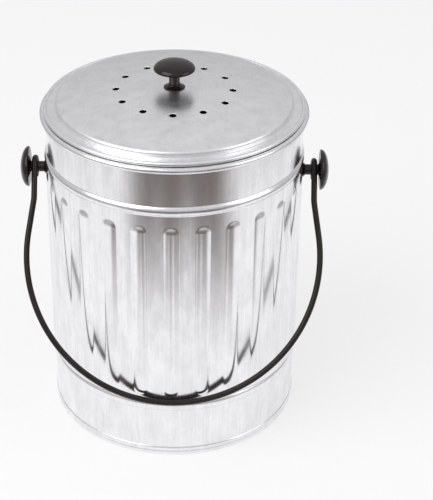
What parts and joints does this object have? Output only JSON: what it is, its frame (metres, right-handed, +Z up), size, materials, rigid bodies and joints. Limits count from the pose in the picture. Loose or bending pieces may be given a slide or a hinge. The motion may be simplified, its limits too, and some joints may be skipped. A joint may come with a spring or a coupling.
{
  "type": "compost caddy",
  "caption": "Galvanised kitchen compost caddy: fluted bucket with a rolled rim, a swinging wire bail on black knobs, and a lift-off lid with charcoal filter pads.",
  "frame": {"origin": "on the table under the middle of the bucket", "axes": "+Z up along the bucket's axis, +X towards the right-hand knob, -Y towards the front, where the bail rests"},
  "size_m": [0.2276, 0.1957, 0.2803],
  "materials": {
    "galvanised_sheet": "galvanised, satin with faint spangle",
    "knob_plastic": "glossy black moulding",
    "coated_wire": "satin black coating",
    "charcoal_felt": "matte black felt",
    "plated_steel": "bright plated",
    "brass": "turned"
  },
  "bodies": {
    "bucket": {"body_shell": "galvanised_sheet", "base_pan": "galvanised_sheet", "left_knob": "knob_plastic", "left_knob_collar": "knob_plastic", "left_knob_insert": "brass", "left_knob_screw": "plated_steel", "left_knob_washer": "plated_steel", "right_knob": "knob_plastic", "right_knob_collar": "knob_plastic", "right_knob_insert": "brass", "right_knob_screw": "plated_steel", "right_knob_washer": "plated_steel"},
    "bail": {"bail_wire": "coated_wire"},
    "lid": {"lid_cover": "galvanised_sheet", "lid_pan": "galvanised_sheet", "upper_filter": "charcoal_felt", "lower_filter": "charcoal_felt", "lid_knob": "knob_plastic", "lid_knob_collar": "knob_plastic", "lid_knob_insert": "brass", "lid_knob_screw": "plated_steel", "lid_knob_washer": "plated_steel"}
  },
  "joints": [
    {"name": "bail_swing", "type": "hinge", "parent": "bucket", "child": "bail", "pos_m": [0, 0, 0.1945], "axis": [-1, 0, 0], "range_deg": [0, 292]},
    {"name": "lid_lift", "type": "slide", "parent": "bucket", "child": "lid", "axis": [0, 0, 1], "range_m": [0, 0.15]}
  ]
}
